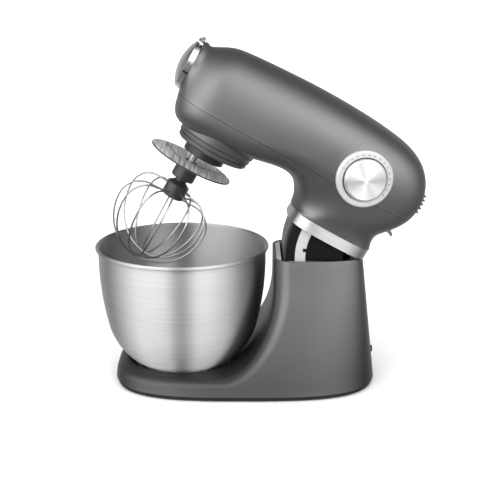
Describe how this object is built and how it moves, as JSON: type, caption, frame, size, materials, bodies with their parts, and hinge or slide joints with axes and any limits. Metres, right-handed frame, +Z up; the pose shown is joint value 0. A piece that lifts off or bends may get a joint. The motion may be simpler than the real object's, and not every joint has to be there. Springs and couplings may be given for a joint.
{
  "type": "stand mixer",
  "caption": "Tilt-head stand mixer in dark grey metallic paint with a brushed steel bowl and wire whisk, head raised.",
  "frame": {"origin": "middle of the base footprint on the table, at the underside of the feet", "axes": "+X to the back, +Y to the far side away from the speed dial, +Z up"},
  "size_m": [0.4183, 0.2218, 0.4343],
  "materials": {
    "paint": "dark grey satin metallic paint",
    "black_plastic": "matt black moulding",
    "rubber": "matt black rubber",
    "belt_rubber": "ribbed belt, matt",
    "grey_plastic": "dark grey moulding, satin",
    "light_plastic": "light grey moulding, satin",
    "brushed_steel": "brushed stainless",
    "plain_steel": "plain turned steel",
    "cast_alloy": "satin cast alloy",
    "bright_chrome": "mirror chrome",
    "bronze": "sintered bronze",
    "board_green": "circuit board"
  },
  "bodies": {
    "base": {"base_shell": "paint", "base_plate": "black_plastic", "plate_screws": "plain_steel", "rubber_feet": "rubber", "bowl_seat": "plain_steel", "column_rim": "light_plastic", "hinge_bracket": "plain_steel", "hinge_pin": "plain_steel", "cord_gland": "black_plastic"},
    "bowl": {"bowl": "brushed_steel", "bowl_foot": "brushed_steel"},
    "head": {"head_upper_shell": "paint", "head_lower_shell": "paint", "seam_screws": "plain_steel", "neck_band": "brushed_steel", "neck_skirt": "black_plastic", "skirt_front_cover": "grey_plastic", "latch_strut": "light_plastic", "gear_housing": "cast_alloy", "drive_plate": "cast_alloy", "shaft_bearings": "plain_steel", "motor_bearings": "plain_steel", "motor_frame": "cast_alloy", "motor_stator": "plain_steel", "drive_belt": "belt_rubber", "ring_gear": "plain_steel", "trim_ring": "black_plastic", "hub_bezel": "bright_chrome", "hub_socket": "cast_alloy", "cap_pin": "plain_steel", "dial_ring": "brushed_steel", "speed_switch": "black_plastic", "control_board": "board_green", "lever_pin": "plain_steel", "lever_spring": "plain_steel"},
    "motor": {"motor_rotor": "plain_steel", "motor_shaft": "plain_steel", "cooling_fan": "black_plastic", "motor_pulley": "black_plastic"},
    "planetary": {"drive_pulley": "black_plastic", "drive_shaft": "plain_steel", "planet_carrier": "black_plastic", "carrier_bush": "bronze"},
    "tool": {"tool_shaft": "plain_steel", "gear_arbor": "plain_steel", "planet_gear": "plain_steel", "cross_pin": "plain_steel"},
    "whisk": {"whisk_hub": "black_plastic", "whisk_wires": "plain_steel", "splash_disc": "light_plastic"},
    "dial": {"speed_knob": "brushed_steel"},
    "lever": {"release_lever": "bright_chrome"},
    "cap": {"hub_cap": "bright_chrome"}
  },
  "joints": [
    {"name": "head_tilt", "type": "hinge", "parent": "base", "child": "head", "pos_m": [0.144, 0, 0.166], "axis": [0, 1, 0], "range_deg": [-29, 0]},
    {"name": "bowl_twist", "type": "hinge", "parent": "base", "child": "bowl", "pos_m": [-0.0805, 0, 0.01], "axis": [0, 0, 1], "range_deg": [-25, 0]},
    {"name": "planetary_spin", "type": "hinge", "parent": "head", "child": "planetary", "pos_m": [-0.0475, 0, 0.28359], "axis": [0.4848, 0, 0.8746], "continuous": true},
    {"name": "tool_spin", "type": "hinge", "parent": "planetary", "child": "tool", "pos_m": [-0.0615, 0, 0.29134], "axis": [0.4848, 0, 0.8746], "continuous": true},
    {"name": "motor_spin", "type": "hinge", "parent": "head", "child": "motor", "pos_m": [0.12879, 0, 0.22931], "axis": [0.4848, 0, 0.8746], "continuous": true},
    {"name": "whisk_pull", "type": "slide", "parent": "tool", "child": "whisk", "axis": [-0.4848, 0, -0.8746], "range_m": [0, 0.025]},
    {"name": "speed_dial", "type": "hinge", "parent": "head", "child": "dial", "pos_m": [0.14468, -0.0645, 0.27036], "axis": [0.0914, -0.9945, -0.0507], "range_deg": [-240, 0]},
    {"name": "lever_lift", "type": "hinge", "parent": "head", "child": "lever", "pos_m": [0.16505, 0, 0.19778], "axis": [0, 1, 0], "range_deg": [-15, 0], "stiffness_Nm_per_rad": 0.12},
    {"name": "cap_flip", "type": "hinge", "parent": "head", "child": "cap", "pos_m": [-0.05034, 0, 0.43162], "axis": [0, 1, 0], "range_deg": [0, 100]}
  ],
  "couplings": [
    {"joint": "tool_spin", "follows": "planetary_spin", "ratio": -3},
    {"joint": "motor_spin", "follows": "planetary_spin", "ratio": 4}
  ]
}
